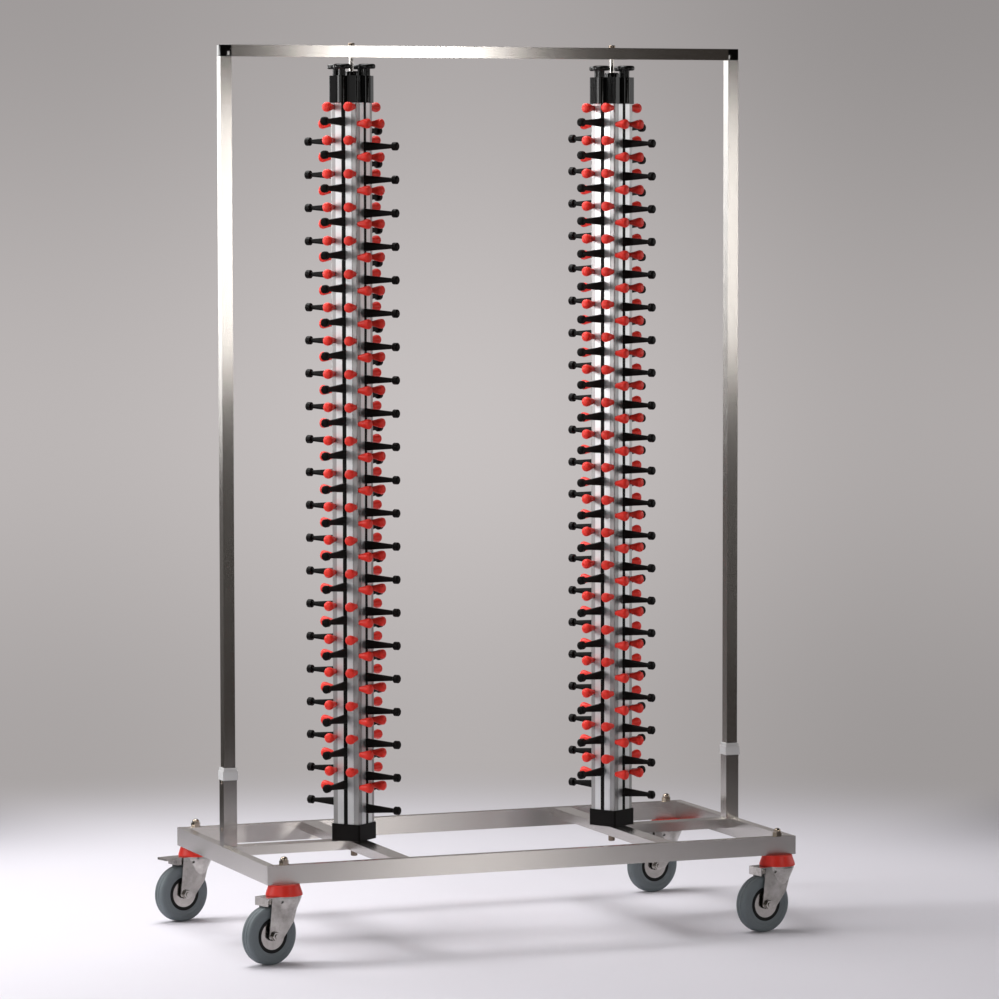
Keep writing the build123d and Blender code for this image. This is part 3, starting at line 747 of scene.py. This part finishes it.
def build_knob(column, side):
    node = f"{column}_{side}_knob"
    bottom, top = (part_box(node)[end].z for end in (0, 1))
    disc = top - knob_disc_height
    rings = [
        (bottom, screw_radius),
        (disc - knob_neck_height, screw_radius),
        (disc - knob_neck_height, knob_neck_radius),
        (disc, knob_neck_radius),
    ]
    rings += [(disc + height, radius) for height, radius in knob_disc_rings]
    knob = turned_form(f"{column}_{side}_turned_knob", knob_sides, rings)
    place(knob, side_matrix(column, side) @ Matrix.Translation((knob_axis_x, 0, 0)))
    return finish_piece(knob, node, knob_black, node, angle=50)


for column in COLUMNS:
    for side in SIDES:
        print(build_knob(column, side).name)

# %% [markdown]
# A moulded corner joins each post to the beam. It is a black cube with softened
# edges and two square spigots, one down into the post and one into the beam. They
# could be extruded from the cube's faces, but as boxes of their own they stay sharp
# when a bevel softens the cube. Out of sight, they hold the real frame together.

# %% Corner connectors
post_x = 593 * MM
tube_half = 12.5 * MM
spigot_half = 10.9 * MM
spigot_length = 35 * MM
corner_softness = 1.2 * MM


def build_corner(way, top):
    """The pieces of one corner; way is -1 at the left post and 1 at the right one."""
    x = post_x * way
    beam_z = top - tube_half
    cube = new_box(
        "corner", (x - tube_half, -tube_half, top - 2 * tube_half), (x + tube_half, tube_half, top)
    )
    add_modifier(cube, "BEVEL", width=corner_softness, segments=3)
    down = new_box(
        "post_spigot",
        (x - spigot_half, -spigot_half, top - 2 * tube_half - spigot_length),
        (x + spigot_half, spigot_half, beam_z),
    )
    inner = x - way * (tube_half + spigot_length)
    along = new_box(
        "beam_spigot",
        (min(x, inner), -spigot_half, beam_z - spigot_half),
        (max(x, inner), spigot_half, beam_z + spigot_half),
    )
    return [cube, down, along]


beam_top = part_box("corner_connectors")[1].z
corners = join(build_corner(-1, beam_top) + build_corner(1, beam_top), "moulded_corners")
finish_piece(corners, "base", cap_black, "corner_connectors", angle=35)
print("corners reach", round(beam_top / MM), "mm")

# %% [markdown]
# The room is a plain photographic cove: pale paper round the rack, a grey wall behind
# it, and an unlit room elsewhere, which is what the steel mirrors. Far out the floor
# turns softly into the wall's tone, so no edge shows. Two matched colours would drift
# apart, so one tone group feeds both the far floor and the world.

# %% Studio tone
camera_place = (-3.6629, -9.4965, 1.6585)
camera_yaw = math.radians(21.288)
wall_tone = (0.57, 0.535, 0.53)
room_tone = (0.036, 0.031, 0.027)
wall_edge = (0.71, 0.87)
towards_wall = (math.sin(camera_yaw), math.cos(camera_yaw), 0)
rightwards = (math.cos(camera_yaw), -math.sin(camera_yaw), 0)


def add_range(nodes, value_range, result_range):
    """A soft step from one value to another."""
    step = nodes.new("ShaderNodeMapRange")
    step.interpolation_type = "SMOOTHSTEP"
    step.inputs["From Min"].default_value, step.inputs["From Max"].default_value = value_range
    step.inputs["To Min"].default_value, step.inputs["To Max"].default_value = result_range
    return step


def add_vector_math(tree, operation, source, fixed=None):
    """A vector node fed by one socket and, where it needs two, by a fixed vector."""
    node = tree.nodes.new("ShaderNodeVectorMath")
    node.operation = operation
    tree.links.new(source, node.inputs[0])
    if fixed:
        node.inputs[1].default_value = fixed
    return node


def build_tone_group():
    """Sight is a direction from the camera's place, and Bearing one from the rack."""
    group, inlet, outlet = new_group(
        "studio_tone",
        [("Sight", "NodeSocketVector", (0, 1, 0)), ("Bearing", "NodeSocketVector", (0, 1, 0))],
        [("Color", "NodeSocketColor")],
    )
    nodes, links = group.nodes, group.links
    sight = add_vector_math(group, "NORMALIZE", inlet.outputs["Sight"]).outputs["Vector"]
    bearing = add_vector_math(group, "NORMALIZE", inlet.outputs["Bearing"]).outputs["Vector"]
    split = nodes.new("ShaderNodeSeparateXYZ")
    links.new(sight, split.inputs["Vector"])
    sideways = add_vector_math(group, "DOT_PRODUCT", sight, rightwards).outputs["Value"]
    facing = add_vector_math(group, "DOT_PRODUCT", bearing, towards_wall).outputs["Value"]
    height = split.outputs["Z"]
    # The wall is brightest behind the columns. Each row says along what it fades,
    # from where to where, and how bright it is at both ends.
    falls = (
        (height, (-0.055, 0.045), (1.0, 0.70)),
        (height, (-0.125, -0.055), (0.80, 1.0)),
        (sideways, (-0.01, 0.09), (1.0, 0.74)),
        (sideways, (-0.10, -0.01), (0.87, 1.0)),
    )
    level = None
    for source, value_range, result_range in falls:
        fall = add_range(nodes, value_range, result_range)
        links.new(source, fall.inputs["Value"])
        if level is None:
            level = fall.outputs["Result"]
            continue
        both = nodes.new("ShaderNodeMath")
        both.operation = "MULTIPLY"
        links.new(level, both.inputs[0])
        links.new(fall.outputs["Result"], both.inputs[1])
        level = both.outputs["Value"]
    wall = nodes.new("ShaderNodeVectorMath")
    wall.operation = "SCALE"
    wall.inputs[0].default_value = wall_tone
    links.new(level, wall.inputs["Scale"])
    wall_part = add_range(nodes, wall_edge, (0.0, 1.0))
    links.new(facing, wall_part.inputs["Value"])
    tone = nodes.new("ShaderNodeMix")
    tone.data_type = "RGBA"
    tone.inputs["A"].default_value = (*room_tone, 1)
    links.new(wall_part.outputs["Result"], tone.inputs["Factor"])
    links.new(wall.outputs["Vector"], tone.inputs["B"])
    links.new(tone.outputs["Result"], outlet.inputs["Color"])
    return group


def add_studio_tone(nodes):
    tone = nodes.new("ShaderNodeGroup")
    tone.node_tree = STUDIO_TONE
    return tone


STUDIO_TONE = build_tone_group()
print("studio tone", len(STUDIO_TONE.nodes), "nodes")

# %% [markdown]
# A real cove is paper that bends up behind the object. Here the floor is one flat
# sheet, because a bend would catch light of its own. Near the rack it is paper that
# takes light and shadow, and past the paper's end or side it glows with the tone of
# what lies behind it. The distances are from the middle of the rack, in metres.

# %% Floor
floor_tone = (0.72, 0.70, 0.755)
floor_roughness = 0.7
floor_half = 60.0
paper_end = (1.3, 2.9)
paper_side = (1.25, 1.75)


def studio_paper():
    material = bpy.data.materials.new("studio_paper")
    material.use_nodes = True
    tree = material.node_tree
    nodes, links = tree.nodes, tree.links
    paper = nodes["Principled BSDF"]
    paper.inputs["Base Color"].default_value = (*floor_tone, 1)
    paper.inputs["Roughness"].default_value = floor_roughness
    place_in = nodes.new("ShaderNodeTexCoord").outputs["Object"]
    distance = add_vector_math(tree, "LENGTH", place_in).outputs["Value"]
    sight = add_vector_math(tree, "SUBTRACT", place_in, camera_place).outputs["Vector"]
    across = add_vector_math(tree, "DOT_PRODUCT", place_in, rightwards).outputs["Value"]
    aside = nodes.new("ShaderNodeMath")
    aside.operation = "ABSOLUTE"
    past_end = add_range(nodes, paper_end, (0.0, 1.0))
    past_side = add_range(nodes, paper_side, (0.0, 1.0))
    off_paper = nodes.new("ShaderNodeMath")
    off_paper.operation = "MAXIMUM"
    tone = add_studio_tone(nodes)
    glow = nodes.new("ShaderNodeEmission")
    mix = nodes.new("ShaderNodeMixShader")
    links.new(distance, past_end.inputs["Value"])
    links.new(across, aside.inputs[0])
    links.new(aside.outputs["Value"], past_side.inputs["Value"])
    links.new(past_end.outputs["Result"], off_paper.inputs[0])
    links.new(past_side.outputs["Result"], off_paper.inputs[1])
    links.new(sight, tone.inputs["Sight"])
    links.new(place_in, tone.inputs["Bearing"])
    links.new(tone.outputs["Color"], glow.inputs["Color"])
    links.new(off_paper.outputs["Value"], mix.inputs["Fac"])
    links.new(paper.outputs["BSDF"], mix.inputs[1])
    links.new(glow.outputs["Emission"], mix.inputs[2])
    links.new(mix.outputs["Shader"], nodes["Material Output"].inputs["Surface"])
    return material


clean_selection()
mesh_ops.primitive_plane_add(size=2 * floor_half, location=(0, 0, 0))
floor = settle("studio_floor")
floor.data.materials.append(studio_paper())
print(floor.name, "is", 2 * floor_half, "m wide")

# %% [markdown]
# What stands beyond the floor is the world, which the polished pieces mirror too. A
# picture of a studio could fill it, but the tone group already knows the wall and the
# dark room, so the world asks it for the tone in every direction.

# %% World
def build_world():
    world = bpy.data.worlds.new("studio")
    bpy.context.scene.world = world
    world.use_nodes = True
    nodes, links = world.node_tree.nodes, world.node_tree.links
    tone = add_studio_tone(nodes)
    direction = nodes.new("ShaderNodeTexCoord")
    for socket in ("Sight", "Bearing"):
        links.new(direction.outputs["Generated"], tone.inputs[socket])
    links.new(tone.outputs["Color"], nodes["Background"].inputs["Color"])
    return world


print("world", build_world().name)

# %% [markdown]
# Soft lamps stand where the photograph's reflections show them. The key, left of the
# rack and a little behind it, whitens the columns' left faces, and a weak fill at the
# left front lights the pegs. Two wide, dim panels at the sides show in the columns
# and caps. A tilted box behind whitens the posts' left sides, a small one in front
# puts the bright band on the beam, and a large one overhead lights the paper. One big
# lamp would be simpler, but the steel would then mirror a single patch.

# %% Lamps
def soft_lamp(name, place_at, look_at, size, glow, tint=(1, 1, 1), roll=0.0):
    """A rectangular lamp: its glow, times pi, is its power for each square metre."""
    clean_selection()
    bpy.ops.object.light_add(type="AREA", location=place_at)
    lamp = bpy.context.active_object
    lamp.name = name
    lamp.data.shape = "RECTANGLE"
    lamp.data.size, lamp.data.size_y = size
    lamp.data.energy = glow * math.pi * size[0] * size[1]
    lamp.data.color = tint
    lamp.visible_camera = False
    turn = (Vector(look_at) - Vector(place_at)).to_track_quat("-Z", "Y")
    lamp.rotation_euler = (turn @ Quaternion((0, 0, 1), math.radians(roll))).to_euler()
    print(name, round(lamp.data.energy, 1), "W")


warm = (1.0, 0.97, 0.94)
soft_lamp("key_softbox", (-2.8, 0.8, 1.8), look_at=(-0.1, 0, 1.3), size=(0.6, 1.6), glow=14.0)
soft_lamp("fill_softbox", (-2.4, -2.15, 1.35), look_at=(-0.2, 0, 1.1), size=(0.6, 2.2), glow=3.0)
soft_lamp("left_panel", (-3.3, -0.5, 1.2), look_at=(0, 0, 1.1), size=(3.0, 2.3), glow=0.5)
soft_lamp("right_panel", (3.2, -0.38, 1.4), look_at=(0, 0, 1.2), size=(2.6, 2.3), glow=1.4)
soft_lamp(
    "back_softbox", (-1.42, 2.75, 1.8), look_at=(-0.4, 0, 1.2), size=(1.9, 1.1), glow=3.0, roll=-43
)
soft_lamp(
    "front_softbox", (1.20, -3.75, 1.47), look_at=(0, 0, 1.47), size=(0.5, 0.80), glow=14.0, tint=warm
)
soft_lamp("overhead_softbox", (-0.7, 0.75, 3.2), look_at=(-0.1, 0.05, 0), size=(2.2, 2.0), glow=7.5)

# %% [markdown]
# The camera stands far away with a long lens, a little above the middle of the rack
# and to its left front, where the photograph was taken from. A near camera with a
# wide lens would frame it too, but the upright lines would then lean apart.

# %% Camera
camera_pitch = math.radians(4.025)
camera_roll = math.radians(-0.083)
lens_pixels = 4641.0
photo_pixels = 999.0
sensor_width = 36.0

camera_data = bpy.data.cameras.new("camera")
camera = bpy.data.objects.new("camera", camera_data)
bpy.context.scene.collection.objects.link(camera)
camera_data.sensor_width = sensor_width
camera_data.lens = lens_pixels / photo_pixels * sensor_width
camera.location = camera_place
camera.rotation_mode = "XYZ"
aim = (
    Matrix.Rotation(-camera_yaw, 4, "Z")
    @ Matrix.Rotation(math.radians(90) - camera_pitch, 4, "X")
    @ Matrix.Rotation(camera_roll, 4, "Z")
)
camera.rotation_euler = aim.to_euler()
bpy.context.scene.camera = camera
bpy.context.scene.view_settings.view_transform = "Standard"
print("lens", round(camera_data.lens, 1), "mm")
